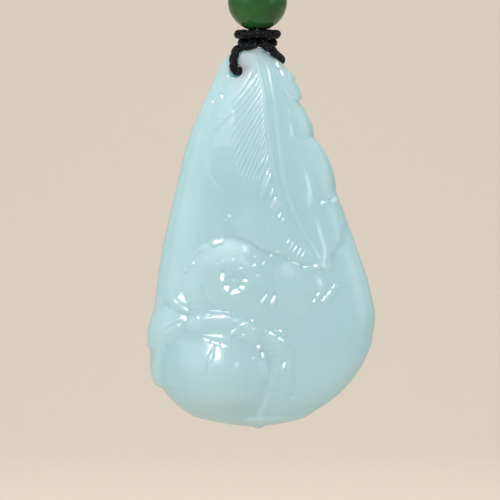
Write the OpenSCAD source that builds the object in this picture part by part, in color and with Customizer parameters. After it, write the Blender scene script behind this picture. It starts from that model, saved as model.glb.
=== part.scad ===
// A drop-shaped pendant of pale carved jade, tied with a black braided cord under a round green bead.
// Millimetres, +Z up, the carved face towards -Y. The origin is the inside top of the hanging loop.

/* [Stone] */
// Width of the carved stone
stone_w = 34.8; // [26:0.1:46]
// Height of the carved stone
stone_h = 57.7; // [44:0.1:76]
// Thickness of the pebble under its carving
stone_t = 10; // [8:0.1:14]
// Height of the carving above the pebble's face
relief = 2.4; // [1.2:0.1:3.6]
// Width over which the carving dies away at the rim of the stone
edge_w = 0.6; // [0.3:0.05:1.2]
// Rows of facets from the stone's top to its bottom
stone_rows = 64; // [40:2:70]
// Columns of facets across the carved face
front_columns = 56; // [36:2:60]
// Columns of facets across the plain back
back_columns = 16; // [12:2:24]

/* [Cord hole] */
// Bore of the cord hole through the stone's tip
hole_d = 2; // [1.7:0.05:2.4]
// Depth of the cord hole's axis below the stone's top
hole_drop = 3.65; // [3.4:0.05:4.6]
// Angle of the cord hole from the pendant's width
hole_turn = 60; // [50:1:70]
// Place of the cord hole's middle across the width
hole_x = -2.2; // [-2.5:0.05:-1.5]
// Place of the cord hole's middle from front to back
hole_y = 0; // [-0.3:0.05:0.3]

/* [Cord] */
// Diameter of the braided cord
cord_d = 1.4; // [1:0.05:1.5]
// Sides of a cord's tube
cord_sides = 8; // [6:1:12]
// Width of the turn that binds the two strands
wrap_w = 7.2; // [6.4:0.1:9]
// Depth of that turn from front to back
wrap_t = 5; // [4.8:0.1:6.4]
// Distance from the bead's underside to the middle of that turn
wrap_drop = 0.65; // [0.5:0.05:0.8]
// Rings of facets along that turn
wrap_rings = 20; // [12:2:32]

/* [Bead] */
// Diameter of the round bead
bead_d = 9; // [8:0.1:12]
// Bore of the bead, wide enough for two strands
bead_bore = 3.1; // [2.9:0.05:3.6]

/* [Knot and loop] */
// Diameter of the wrapped knot above the bead
knot_d = 4.8; // [4:0.1:6.5]
// Height of that knot
knot_h = 3.6; // [2.8:0.1:5]
// Number of turns in that knot
knot_turns = 3; // [2:1:5]
// Inside height of the hanging loop
loop_inner_h = 17.5; // [14:0.5:24]

/* [Clearances] */
// Gap between pieces that touch on the real pendant
seat_gap = 0.1; // [0.05:0.01:0.2]
// Distance from the bead's underside to the stone's top
stone_drop = 2.5; // [2.4:0.05:3.2]
// Gap between the two strands, side by side in the bore
strand_gap = 0.06; // [0.04:0.01:0.1]

/* [Hidden] */

// Sides of the round surfaces: bores and knot, bead, one turn of the knot.
ROUND_SIDES = 48;
BEAD_SIDES = 64;
TURN_SIDES = 24;

knot_top = -loop_inner_h;
bead_z = knot_top - knot_h - seat_gap - bead_d / 2;
wrap_z = bead_z - bead_d / 2 - wrap_drop;
stone_top = bead_z - bead_d / 2 - stone_drop;
hole_z = stone_top - hole_drop;
strand_x = (cord_d + strand_gap) / 2;

// The cord's route, with the bead's underside at 0: down the bore, over the tip, through the stone,
// and back over the tip and up the bore.
STONE_CORD_ROUTE = [
    [-strand_x, 0, bead_d], [-strand_x, 0, bead_d / 2], [-strand_x, 0, 0.3], [-strand_x, -0.05, -0.7],
    [-0.7, -0.35, -1.4], [-0.45, -0.95, -1.95], [-0.8, -1.65, -2.22], [-1.7, -1.9, -2.2],
    [-2.6, -1.95, -2.35], [-3.3, -2, -2.95], [-3.58, -2.15, -3.9], [-3.65, -2.45, -4.9],
    [-3.55, -2.6, -5.6], [-3.35, -2.15, -6.1], [-2.95, -1.3, -6.15], [-2.2, 0, -6.15],
    [-1.4, 1.39, -6.15], [-1.05, 2.2, -6], [-0.4, 2.65, -5.5], [0.7, 2.6, -5.05], [2, 2.35, -4.8],
    [3.1, 1.9, -4.55], [3.6, 1.2, -4.15], [3.5, 0.5, -3.7], [3.4, -0.3, -3.25], [3.1, -1.2, -2.7],
    [2.5, -1.75, -2.3], [1.45, -1.7, -2.28], [1.1, -0.95, -2], [0.85, -0.35, -1.42],
    [strand_x, -0.05, -0.7], [strand_x, 0, 0.3], [strand_x, 0, bead_d / 2], [strand_x, 0, bead_d]
];

// One side of the hanging loop, from the knot up: [out from the middle, down as a share of its height].
LOOP_SIDE = [
    [0.75, 0.857], [1.1, 0.686], [1.9, 0.514], [2.8, 0.343], [3.4, 0.2], [3.2, 0.074], [2, -0.006]
];
LOOP_UP = concat([[strand_x, 1 - seat_gap / loop_inner_h]], LOOP_SIDE);
LOOP_ROUTE = concat(
    [for (p = LOOP_UP) [-p[0], 0, -p[1] * loop_inner_h]],
    [[0, 0, cord_d / 2]],
    [for (i = [len(LOOP_UP) - 1:-1:0]) [LOOP_UP[i][0], 0, -LOOP_UP[i][1] * loop_inner_h]]
);

// Cross-sections of the pebble, as shares: [down the height, left edge and right edge of the width,
// front depth and back depth of the thickness].
SECTIONS = [
    [0.014, -0.120, 0.046, 0.12, 0.12],
    [0.028, -0.142, 0.078, 0.15, 0.15],
    [0.046, -0.163, 0.115, 0.18, 0.18],
    [0.064, -0.176, 0.135, 0.20, 0.20],
    [0.143, -0.234, 0.178, 0.27, 0.26],
    [0.237, -0.298, 0.243, 0.32, 0.31],
    [0.376, -0.357, 0.342, 0.38, 0.36],
    [0.518, -0.411, 0.429, 0.43, 0.41],
    [0.602, -0.433, 0.477, 0.46, 0.43],
    [0.685, -0.451, 0.509, 0.47, 0.45],
    [0.717, -0.460, 0.512, 0.47, 0.45],
    [0.772, -0.476, 0.499, 0.46, 0.45],
    [0.796, -0.466, 0.486, 0.45, 0.44],
    [0.843, -0.438, 0.448, 0.44, 0.42],
    [0.895, -0.411, 0.381, 0.40, 0.38],
    [0.927, -0.372, 0.320, 0.36, 0.34],
    [0.947, -0.335, 0.272, 0.31, 0.30],
    [0.968, -0.285, 0.216, 0.24, 0.23]
];
// Places of the two end poles across the width, and how square the ends close.
TOP_POLE = -0.03;
BOTTOM_POLE = -0.015;
TOP_SQUARE = 2.6;
BOTTOM_SQUARE = 1.35;
// The tail that hangs below the pebble's foot: [start and end of its fall down the height, middle and
// half width across, front depth and back depth].
TAIL = [0.978, 1, 0.0065, 0.0305, 0.13, 0.05];
PEBBLE_END = 0.996;
// How square the pebble's cross-section is.
SECTION_SQUARE = 2.3;

// Lobes of the leaves that swell the outline: [from, to down the height, side, swell as a share of
// the width, lean towards the lobe's end, roundness]. Only the pebble's rim swells.
LOBES = [
    [0.064, 0.143, 1, 0.023, 1.0, 0.45],
    [0.143, 0.237, 1, 0.021, 1.0, 0.80],
    [0.237, 0.376, 1, 0.027, 0.8, 0.90],
    [0.685, 0.772, -1, 0.011, 1.3, 1.00],
    [0.772, 0.796, -1, 0.007, 1.0, 0.70],
    [0.796, 0.895, -1, 0.034, 2.0, 0.50]
];

// How closely a lobe's swell keeps to the pebble's rim, and how much closer the columns lie there.
SWELL_SHARPNESS = 6;
RIM_CROWDING = 0.45;

// The long leaf that hangs from the tip: [down the height, left edge and right edge of the width, and
// the share of the width over which it rises from its left edge]. A right edge of 0.6 lies past the
// outline, where the leaf runs over the stone's side.
LEAF = [
    [0.020, -0.020, 0.600, 0.044],
    [0.043, -0.037, 0.600, 0.061],
    [0.064, -0.059, 0.600, 0.078],
    [0.117, -0.111, 0.600, 0.113],
    [0.146, -0.142, 0.600, 0.148],
    [0.209, -0.189, 0.600, 0.209],
    [0.259, -0.216, 0.600, 0.235],
    [0.337, -0.207, 0.600, 0.226],
    [0.366, -0.189, 0.600, 0.200],
    [0.414, -0.176, 0.600, 0.183],
    [0.466, -0.168, 0.390, 0.139],
    [0.495, -0.107, 0.385, 0.061],
    [0.511, -0.041, 0.381, 0.039],
    [0.529, 0.002, 0.359, 0.026],
    [0.545, 0.098, 0.337, 0.026],
    [0.563, 0.142, 0.329, 0.026],
    [0.584, 0.290, 0.333, 0.026],
    [0.592, 0.324, 0.337, 0.026]
];
// The leaf's height as a share of the relief, and the share of the width over which it falls on its right.
LEAF_RISE = 0.18;
LEAF_FALL = 0.035;

// Rounded bosses: [across, down, half width, half height, turn, rise, fullness, softness of the foot],
// with the rise as a share of the relief and the half sizes as shares of the width and the height.
BOSSES = [
    [-0.128, 0.621, 0.218, 0.118, 0, 0.46, 8.0, 1.4],
    [-0.189, 0.862, 0.239, 0.139, 0, 0.98, 1.9, 1.15],
    [-0.150, 0.736, 0.183, 0.050, 8, 0.42, 2.6, 1.5],
    [0.198, 0.626, 0.165, 0.079, 8, 0.13, 2.5, 2.0],
    [-0.398, 0.734, 0.118, 0.058, -28, 0.18, 2.2, 1.6],
    [-0.424, 0.836, 0.052, 0.068, 4, 0.18, 3.0, 1.0],
    [-0.346, 0.671, 0.074, 0.026, 35, 0.16, 2.6, 1.5],
    [0.076, 0.778, 0.096, 0.032, 33, 0.14, 2.4, 1.5],
    [0.102, 0.862, 0.057, 0.079, 6, 0.12, 3.0, 1.5],
    [-0.037, 0.776, 0.070, 0.045, -10, 0.22, 2.4, 1.6]
];
// The puffed lobes of the leaf's right half, which stand on the leaf: the same columns.
LEAF_PUFFS = [
    [0.172, 0.185, 0.096, 0.055, 40, 0.06, 3.0, 2.0],
    [0.237, 0.311, 0.118, 0.095, -22, 0.07, 3.0, 2.0],
    [0.294, 0.479, 0.104, 0.079, -20, 0.06, 3.0, 2.0]
];

// Ridges and grooves: [points as across and down shares, height as a share of the relief, half width
// as a share of the stone's width]. A groove's height is below zero.
STROKES = [
    [[[0.002, 0.043], [0.033, 0.127], [0.046, 0.219], [0.068, 0.297], [0.098, 0.402], [0.141, 0.476],
      [0.200, 0.545]], 0.07, 0.010],
    [[[0.046, 0.051], [0.076, 0.153], [0.094, 0.258], [0.115, 0.363], [0.150, 0.442], [0.211, 0.533]],
      0.08, 0.010],
    [[[0.076, 0.050], [0.115, 0.082]], 0.06, 0.010],
    [[[0.098, 0.088], [0.150, 0.135], [0.185, 0.166]], 0.06, 0.012],
    [[[0.250, 0.238], [0.222, 0.243], [0.195, 0.241]], -0.08, 0.010],
    [[[0.350, 0.400], [0.303, 0.414], [0.246, 0.411]], -0.09, 0.012],
    [[[0.041, 0.552], [0.063, 0.536], [0.094, 0.533], [0.124, 0.546]], -0.07, 0.010],
    [[[0.124, 0.550], [0.168, 0.573], [0.211, 0.580], [0.272, 0.581], [0.329, 0.594], [0.337, 0.625],
      [0.303, 0.654], [0.237, 0.688]], 0.13, 0.016],
    [[[0.268, 0.643], [0.229, 0.678]], -0.07, 0.010],
    [[[0.024, 0.643], [0.011, 0.677]], 0.06, 0.010],
    [[[0.076, 0.646], [0.077, 0.662], [0.058, 0.678]], 0.08, 0.012],
    [[[-0.368, 0.664], [-0.303, 0.693]], 0.14, 0.016],
    [[[-0.303, 0.709], [-0.359, 0.735], [-0.411, 0.764], [-0.455, 0.801]], 0.10, 0.012],
    [[[-0.394, 0.788], [-0.420, 0.822], [-0.420, 0.861], [-0.398, 0.895]], -0.09, 0.012],
    [[[-0.237, 0.761], [-0.185, 0.775], [-0.115, 0.788], [-0.063, 0.769], [-0.024, 0.743]], -0.08, 0.012],
    [[[0.006, 0.746], [0.046, 0.748], [0.124, 0.772]], 0.12, 0.014],
    [[[-0.006, 0.775], [0.011, 0.796], [0.033, 0.814]], 0.13, 0.016],
    [[[0.020, 0.827], [0.046, 0.869], [0.041, 0.921], [0.011, 0.963], [0.006, 0.998]], 0.18, 0.022],
    [[[0.150, 0.806], [0.137, 0.861], [0.155, 0.916], [0.189, 0.940]], 0.08, 0.014],
    [[[-0.185, 0.782], [-0.216, 0.822], [-0.229, 0.869]], -0.04, 0.010]
];

// Shares of the height over which the carving dies away at the top and at the bottom.
TOP_FADE = 0.05;
BOTTOM_FADE = 0.02;

// The dimple of the upper fruit's stalk: [across, down, radius as a share of the width]. Its pit's
// depth is a share of the relief, and its rim is [place and half width as shares of the dimple's
// radius, height as a share of the relief].
DIMPLE = [-0.100, 0.613, 0.052];
DIMPLE_PIT = 0.12;
DIMPLE_RIM = [1.1, 0.33, 0.06];

function limit(q) = max(0, min(1, q));
function ease(q) = let (k = limit(q)) k * k * (3 - 2 * k);
function unit(v) = v / norm(v);

// Smooth reading of one column of a table whose first column rises.
function slope(t, i, c) = let (a = max(i - 1, 0), b = min(i + 1, len(t) - 1))
    (t[b][c] - t[a][c]) / (t[b][0] - t[a][0]);
function place(t, v, i = 0) = i >= len(t) - 2 || v < t[i + 1][0] ? i : place(t, v, i + 1);
function read(t, v, c) = let (
    i = place(t, v), span = t[i + 1][0] - t[i][0], k = limit((v - t[i][0]) / span),
    a = t[i][c], b = t[i + 1][c], s = slope(t, i, c) * span, e = slope(t, i + 1, c) * span
) a + k * (s + k * (3 * (b - a) - 2 * s - e + k * (s + e - 2 * (b - a))));

// How far the lobes on one side swell the outline at a height.
function swell(v, side) = max([for (l = LOBES) l[2] == side && v > l[0] && v < l[1]
    ? let (k = pow((v - l[0]) / (l[1] - l[0]), l[4])) l[3] * pow(4 * k * (1 - k), l[5]) : 0]);

// One cross-section at a height: [down, left, right, front depth, back depth] in millimetres.
first_v = SECTIONS[0][0];
last_v = SECTIONS[len(SECTIONS) - 1][0];
function closing(v) = v < first_v ? (first_v - v) / first_v
    : v > last_v ? (v - last_v) / (PEBBLE_END - last_v) : 0;
function tail(v) = v < TAIL[0] ? 0 : sqrt(max(0, 1 - pow((v - TAIL[0]) / (TAIL[1] - TAIL[0]), 2)));
function section(v) = let (
    s = limit((v - first_v) / (last_v - first_v)) * (last_v - first_v) + first_v,
    c = min(closing(v), 1),
    square = v < first_v ? TOP_SQUARE : BOTTOM_SQUARE,
    pole = v < first_v ? TOP_POLE : BOTTOM_POLE,
    left = read(SECTIONS, s, 1),
    right = read(SECTIONS, s, 2),
    middle = (left + right) / 2 * (1 - c) + pole * c,
    half = (right - left) / 2 * pow(1 - pow(c, square), 1 / square),
    round = sqrt(1 - c * c),
    k = tail(v),
    tail_left = k > 0 ? TAIL[2] - TAIL[3] * k : middle,
    tail_right = k > 0 ? TAIL[2] + TAIL[3] * k : middle
) [v * stone_h, min(middle - half, tail_left) * stone_w, max(middle + half, tail_right) * stone_w,
   max(read(SECTIONS, s, 3) * round, TAIL[4] * k) * stone_t,
   max(read(SECTIONS, s, 4) * round, TAIL[5] * k) * stone_t];

// Heights of the carving above the pebble's face, at a point [across, down] in millimetres.
function segment_gap(p, a, b) = let (ab = b - a, k = limit((p - a) * ab / (ab * ab)))
    norm(p - a - ab * k);
function stroke_gap(p, line) = min([for (i = [0:len(line) - 2]) segment_gap(p, line[i], line[i + 1])]);
function total(list, i = 0) = i >= len(list) ? 0 : list[i] + total(list, i + 1);
function boss_rise(p, b) = let (
    q = [p[0] - b[0] * stone_w, p[1] - b[1] * stone_h],
    x = (q[0] * cos(b[4]) + q[1] * sin(b[4])) / (b[2] * stone_w),
    z = (q[1] * cos(b[4]) - q[0] * sin(b[4])) / (b[3] * stone_h),
    e = sqrt(x * x + z * z)
) e < 1 ? b[5] * pow(1 - pow(e, b[6]), b[7]) : 0;
function leaf_rise(p, left, right, rise_w) = p[0] < left || p[0] > right ? 0
    : ease((p[0] - left) / rise_w) * ease((right - p[0]) / (LEAF_FALL * stone_w))
        * (LEAF_RISE + max([for (b = LEAF_PUFFS) boss_rise(p, b)]));
function dimple_rise(p) = let (
    r = norm([p[0] - DIMPLE[0] * stone_w, p[1] - DIMPLE[1] * stone_h]) / (DIMPLE[2] * stone_w)
) r > 2 ? 0 : DIMPLE_RIM[2] * exp(-pow((r - DIMPLE_RIM[0]) / DIMPLE_RIM[1], 2))
    - DIMPLE_PIT * pow(limit(1 - r * r), 2);

SCALED_STROKES = [for (s = STROKES) [[for (p = s[0]) [p[0] * stone_w, p[1] * stone_h]],
    s[1], s[2] * stone_w]];
STROKE_TOPS = [for (s = SCALED_STROKES) min([for (p = s[0]) p[1]]) - 3 * s[2]];
STROKE_ENDS = [for (s = SCALED_STROKES) max([for (p = s[0]) p[1]]) + 3 * s[2]];

// The closed ring of points of one row: across the carved face, then back across the plain one.
function across(k) = (2 * k - 1) * (1 - RIM_CROWDING) - cos(180 * k) * RIM_CROWDING;
function outward(t, middle, half, left_swell, right_swell) = middle + half * t
    + (t < 0 ? -left_swell : right_swell) * pow(abs(t), SWELL_SHARPNESS);
function bulge(t) = pow(max(0, 1 - pow(abs(t), SECTION_SQUARE)), 1 / SECTION_SQUARE);
function row(v) = let (
    s = section(v), d = s[0], middle = (s[1] + s[2]) / 2, half = (s[2] - s[1]) / 2,
    left_swell = swell(v, -1) * stone_w, right_swell = swell(v, 1) * stone_w,
    left = lookup(v, [for (l = LEAF) [l[0], l[1]]]) * stone_w,
    right = lookup(v, [for (l = LEAF) [l[0], l[2]]]) * stone_w,
    rise_w = lookup(v, [for (l = LEAF) [l[0], l[3]]]) * stone_w,
    leaf = v > LEAF[0][0] && v < LEAF[len(LEAF) - 1][0],
    near = [for (i = [0:len(STROKES) - 1]) if (d > STROKE_TOPS[i] && d < STROKE_ENDS[i])
        SCALED_STROKES[i]],
    fade = ease(v / TOP_FADE) * ease((1 - v) / BOTTOM_FADE)
) [
    for (i = [0:front_columns]) let (
        t = across(i / front_columns), x = outward(t, middle, half, left_swell, right_swell), p = [x, d],
        rise = max(leaf ? leaf_rise(p, left, right, rise_w) : 0, max([for (b = BOSSES) boss_rise(p, b)])),
        lines = total([for (s = near) let (g = stroke_gap(p, s[0]) / s[2])
            g < 3 ? s[1] * exp(-g * g) : 0]),
        rim = ease((1 - abs(t)) * half / edge_w)
    ) [x, -s[3] * bulge(t) - relief * fade * rim * (rise + lines + dimple_rise(p)), stone_top - d],
    for (i = [1:back_columns - 1]) let (t = -across(i / back_columns))
        [outward(t, middle, half, left_swell, right_swell), s[4] * bulge(t), stone_top - d]
];

// Heights of the rows, closer together where the two ends close.
top_rows = 5;
bottom_rows = 10;
middle_rows = stone_rows - top_rows - bottom_rows;
ROW_PLACES = concat(
    [for (i = [1:top_rows]) first_v * (1 - sin(90 - 90 * i / top_rows))],
    [for (i = [1:middle_rows]) first_v + (last_v - first_v) * i / middle_rows],
    [for (i = [1:bottom_rows - 1]) last_v + (1 - last_v) * sin(90 * i / bottom_rows)]
);

// A closed skin over rows of equally many points, with a point at either end.
module skin(first, rows, last) {
    n = len(rows[0]);
    points = concat([first], [for (r = rows) each r], [last]);
    end = len(points) - 1;
    faces = concat(
        [for (i = [0:n - 1]) [0, 1 + (i + 1) % n, 1 + i]],
        [for (r = [0:len(rows) - 2]) for (i = [0:n - 1]) each let (
            a = 1 + r * n + i, b = 1 + r * n + (i + 1) % n, c = b + n, d = a + n
        ) [[a, b, c], [a, c, d]]],
        [for (i = [0:n - 1]) [end, end - n + i, end - n + (i + 1) % n]]
    );
    polyhedron(points, faces, convexity = 8);
}

module carved_stone() {
    color([0.74, 0.85, 0.85])
    difference() {
        skin([TOP_POLE * stone_w, 0, stone_top], [for (v = ROW_PLACES) row(v)],
            [TAIL[2] * stone_w, 0, stone_top - stone_h]);
        translate([hole_x, hole_y, hole_z]) rotate([0, 0, hole_turn]) rotate([0, 90, 0])
            cylinder(h = stone_w, d = hole_d, center = true, $fn = ROUND_SIDES);
    }
}

// A smooth course through a route's points, with the given number of steps between two points.
function course(route, steps) = [
    for (i = [0:len(route) - 2]) let (
        a = route[max(i - 1, 0)], b = route[i], c = route[i + 1], d = route[min(i + 2, len(route) - 1)]
    ) for (j = [0:steps - 1]) let (k = j / steps)
        b + k * ((c - a) / 2 + k * (a - 2.5 * b + 2 * c - d / 2 + k * (1.5 * (b - c) + (d - a) / 2))),
    route[len(route) - 1]
];

// Rings of a tube square to its course, each turned as little as possible from the one before.
function ring(centre, along, side, r) = let (up = cross(along, side))
    [for (j = [0:cord_sides - 1]) let (a = 360 * j / cord_sides) centre + r * (cos(a) * side + sin(a) * up)];
function turned(side, along) = unit(side - along * (along * side));
function tube_rings(course, r, along) = let (
    last = len(course) - 1,
    ways = [for (i = [0:last]) unit(course[min(i + 1, last)] - course[max(i - 1, 0)])]
) [for (i = 0, s = turned(along, ways[0]); i <= last; i = i + 1, s = turned(s, ways[min(i, last)]))
    ring(course[i], ways[i], s, r)];

module tube(course, r, side) {
    skin(course[0], tube_rings(course, r, side), course[len(course) - 1]);
}

module stone_cord() {
    color([0.06, 0.06, 0.07])
    translate([0, 0, bead_z - bead_d / 2]) tube(course(STONE_CORD_ROUTE, 2), cord_d / 2, [0, 1, 0]);
}

module hanging_loop() {
    color([0.06, 0.06, 0.07])
    tube(course(LOOP_ROUTE, 1), cord_d / 2, [0, 1, 0]);
}

// The binding turn lies round both strands, a closed ring of the same cord.
module neck_wrap() {
    rings = [for (i = [0:wrap_rings - 1]) let (
        a = 360 * i / wrap_rings, w = (wrap_w - cord_d) / 2, t = (wrap_t - cord_d) / 2,
        out = unit([cos(a) / w, sin(a) / t, 0])
    ) [for (j = [0:cord_sides - 1]) let (b = 360 * j / cord_sides)
        [w * cos(a), t * sin(a), wrap_z] + cord_d / 2 * (cos(b) * out + sin(b) * [0, 0, 1])]];
    points = [for (r = rings) each r];
    faces = [for (i = [0:wrap_rings - 1]) for (j = [0:cord_sides - 1]) each let (
        k = (i + 1) % wrap_rings, m = (j + 1) % cord_sides,
        a = i * cord_sides + j, b = k * cord_sides + j, c = k * cord_sides + m, d = i * cord_sides + m
    ) [[a, d, c], [a, c, b]]];
    color([0.06, 0.06, 0.07])
    polyhedron(points, faces, convexity = 4);
}

module bead() {
    color([0.22, 0.36, 0.22])
    translate([0, 0, bead_z]) difference() {
        sphere(d = bead_d, $fn = BEAD_SIDES);
        cylinder(h = bead_d + 1, d = bead_bore, center = true, $fn = ROUND_SIDES);
    }
}

// A barrel of close turns over the ends of the cord.
module upper_knot() {
    turn_h = knot_h / knot_turns;
    color([0.06, 0.06, 0.07])
    translate([0, 0, knot_top - knot_h]) union() {
        cylinder(h = knot_h, d = knot_d - turn_h, $fn = ROUND_SIDES);
        for (i = [0:knot_turns - 1]) translate([0, 0, turn_h * (i + 0.5)])
            rotate_extrude($fn = ROUND_SIDES) translate([(knot_d - turn_h) / 2, 0])
                circle(d = turn_h, $fn = TURN_SIDES);
    }
}

carved_stone();
bead();
stone_cord();
neck_wrap();
upper_knot();
hanging_loop();
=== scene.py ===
import math

import bpy
import numpy as np
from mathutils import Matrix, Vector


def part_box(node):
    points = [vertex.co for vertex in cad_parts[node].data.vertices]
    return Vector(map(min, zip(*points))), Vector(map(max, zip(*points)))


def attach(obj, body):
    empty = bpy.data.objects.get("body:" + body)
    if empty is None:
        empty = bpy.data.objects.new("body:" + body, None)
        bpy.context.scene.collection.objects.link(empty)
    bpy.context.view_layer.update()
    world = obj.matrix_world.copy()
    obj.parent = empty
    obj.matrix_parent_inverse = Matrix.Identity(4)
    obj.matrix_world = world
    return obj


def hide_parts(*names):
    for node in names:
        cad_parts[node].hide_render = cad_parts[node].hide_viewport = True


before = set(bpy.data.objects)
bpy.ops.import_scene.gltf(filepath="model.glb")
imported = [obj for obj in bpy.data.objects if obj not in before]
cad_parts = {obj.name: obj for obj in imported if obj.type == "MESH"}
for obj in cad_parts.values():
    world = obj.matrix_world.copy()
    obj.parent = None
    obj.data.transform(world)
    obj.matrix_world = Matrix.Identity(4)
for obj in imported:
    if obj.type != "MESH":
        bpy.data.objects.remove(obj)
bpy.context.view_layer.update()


# The camera faces the carving squarely. Its picture is 500 parts high and wide, with 6.6 parts to a
# millimetre, and the top edge cuts the bead, as in a close picture of a pendant held up by its cord.
# Places on the carving are given in these parts, across and down from the picture's upper left.
MM = 0.001
PART = MM / 6.6
PICTURE = 500
CORD_AT = 257.5
TIP_AT = 47.5
VIEW_DISTANCE = 0.6
NEAREST_SEEN = 0.01
SENSOR = 36

stone_low, stone_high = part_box("carved_stone")
tip_z = stone_high[2]
camera = bpy.data.objects.new("camera", bpy.data.cameras.new("camera"))
camera.data.sensor_width = SENSOR
camera.data.lens = SENSOR * VIEW_DISTANCE / (PICTURE * PART)
camera.data.clip_start = NEAREST_SEEN
camera.location = ((PICTURE / 2 - CORD_AT) * PART, -VIEW_DISTANCE,
                   tip_z + (TIP_AT - PICTURE / 2) * PART)
camera.rotation_euler = (math.pi / 2, 0, 0)
bpy.context.scene.collection.objects.link(camera)
bpy.context.scene.camera = camera
bpy.context.scene.view_settings.view_transform = "Standard"


# Hanging loop: the top of the cord, a braid of twelve flat glossy black nylon yarns, six one way
# round and six the other, each over one and under the next. Its two ends go down into the knot.
CORD_WIDTH = 1.4 * MM
YARNS_EACH_WAY = 6
BRAID_PITCH = 4.0 * MM
BRAID_STEPS = 40
# A yarn's width and thickness and how far it waves in and out, as shares of the cord's width, and how
# round its section is: 1 is an oval, and less is flatter and squarer.
YARN_WIDTH = 0.33
YARN_THICKNESS = 0.12
YARN_WAVE = 0.06
YARN_ROUNDNESS = 0.6
YARN_SIDES = 8
# The share of a yarn's width that is left at the very end of a melted cord.
MELTED_WIDTH = 0.1
STEPS_BETWEEN_POINTS = 24
# One side of the loop, up from the knot: across and up from the loop's inside top, in mm.
LOOP_SIDE = [
    (0.73, -17.4), (0.75, -15), (1.1, -12), (1.9, -9), (2.8, -6), (3.4, -3.5), (3.2, -1.3), (2, 0.1),
]
LOOP_ROUTE = ([(-x, 0, z) for x, z in LOOP_SIDE] + [(0, 0, CORD_WIDTH / MM / 2)]
              + [(x, 0, z) for x, z in reversed(LOOP_SIDE)])


def course(route, step):
    """Evenly spaced points on a smooth line through the route's points, and their places along it."""
    route = np.asarray(route, float)
    p = np.concatenate([route[:1], route, route[-1:]])
    k = np.linspace(0, 1, STEPS_BETWEEN_POINTS, endpoint=False)[:, None]
    parts = []
    for a, b, c, d in zip(p, p[1:], p[2:], p[3:]):
        parts.append(b + k * ((c - a) / 2 + k * (a - 2.5 * b + 2 * c - d / 2
                                                 + k * (1.5 * (b - c) + (d - a) / 2))))
    line = np.concatenate(parts + [route[-1:]])
    run = np.concatenate([[0], np.cumsum(np.linalg.norm(np.diff(line, axis=0), axis=1))])
    at = np.linspace(0, run[-1], max(3, round(run[-1] / step)) + 1)
    return np.stack([np.interp(at, run, line[:, i]) for i in range(3)], axis=1), at


def unit(vectors):
    """The vectors, each made one long."""
    return vectors / np.linalg.norm(vectors, axis=-1, keepdims=True)


def sides_of(line):
    """Two unit vectors square to the line at each of its points, turned as little as possible."""
    way = unit(np.gradient(line, axis=0))
    side = np.empty_like(line)
    last = np.array([0.0, 1.0, 0.0])
    for i, w in enumerate(way):
        last = unit(last - w * (w @ last))
        side[i] = last
    return side, np.cross(way, side)


def braid(name, route, melted_ends=False):
    """A mesh of the yarns of a round braid that follows the route, and the route's smooth line. Melted
    ends are round and closed."""
    line, run = course(route, BRAID_PITCH / BRAID_STEPS)
    full = np.ones(len(run))
    if melted_ends:
        from_end = np.clip(np.minimum(run, run[-1] - run) / (CORD_WIDTH / 2), 0, 1)
        full = np.sqrt(1 - (1 - from_end) ** 2)
    yarn_width = YARN_WIDTH / 2 * CORD_WIDTH * (MELTED_WIDTH + (1 - MELTED_WIDTH) * full)
    yarn_thickness = YARN_THICKNESS / 2 * CORD_WIDTH
    side, up = sides_of(line)
    turn = (np.arange(YARN_SIDES) + 0.5) * 2 * math.pi / YARN_SIDES
    flat_cos, flat_sin = [np.sign(v) * np.abs(v) ** YARN_ROUNDNESS
                          for v in (np.cos(turn), np.sin(turn))]
    verts, faces = [], []
    for way in (1, -1):
        for yarn in range(YARNS_EACH_WAY):
            angle = way * 2 * math.pi * (run / BRAID_PITCH + yarn / YARNS_EACH_WAY)
            weave = way * np.cos(2 * math.pi * YARNS_EACH_WAY * run / BRAID_PITCH + math.pi * yarn)
            out = np.cos(angle)[:, None] * side + np.sin(angle)[:, None] * up
            reach = full * CORD_WIDTH * (0.5 - YARN_THICKNESS / 2 - YARN_WAVE + YARN_WAVE * weave)
            points = line + reach[:, None] * out
            across = unit(np.cross(np.gradient(points, axis=0), out))
            rings = (points[:, None]
                     + yarn_width[:, None, None] * flat_cos[None, :, None] * across[:, None]
                     + yarn_thickness * flat_sin[None, :, None] * out[:, None])
            base = len(verts) * len(points) * YARN_SIDES
            verts.append(rings.reshape(-1, 3))
            ring_start = base + np.arange(len(points) - 1)[:, None] * YARN_SIDES
            a = ring_start + np.arange(YARN_SIDES)[None]
            b = ring_start + (np.arange(YARN_SIDES)[None] + 1) % YARN_SIDES
            quads = np.stack([a, b, b + YARN_SIDES, a + YARN_SIDES], axis=-1).reshape(-1, 4)
            faces += quads.tolist()
            end = base + (len(points) - 1) * YARN_SIDES
            faces.append([base + j for j in reversed(range(YARN_SIDES))])
            faces.append([end + j for j in range(YARN_SIDES)])
    mesh = bpy.data.meshes.new(name)
    mesh.from_pydata(np.concatenate(verts).tolist(), [], faces)
    mesh.update()
    return mesh, line


def add_piece(name, mesh, material, node):
    """One smooth piece of the pendant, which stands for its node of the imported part."""
    piece = bpy.data.objects.new(name, mesh)
    bpy.context.scene.collection.objects.link(piece)
    mesh.materials.append(material)
    mesh.polygons.foreach_set("use_smooth", [True] * len(mesh.polygons))
    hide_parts(node)
    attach(piece, "root")
    return piece


# The nylon's tones, each with the value of the fibres' noise that it stands at. The pale fibre tone is a
# painted glint: bluish flecks that stand in for the braid's sparkle.
DEEP_BLACK = (0.35, (0.002, 0.002, 0.0025, 1))
FIBRE_BLACK = (0.56, (0.004, 0.0045, 0.006, 1))
PAINTED_GLINT_FIBRE = (0.72, (0.070, 0.085, 0.100, 1))
NYLON_SHINE = 0.15
NYLON_GLOSS = (0.04, 0.24)
FIBRES_A_METRE = 4200
FIBRE_DETAIL = 2
FIBRE_RELIEF = 0.05 * MM
RELIEF_STRENGTH = 0.5


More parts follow.
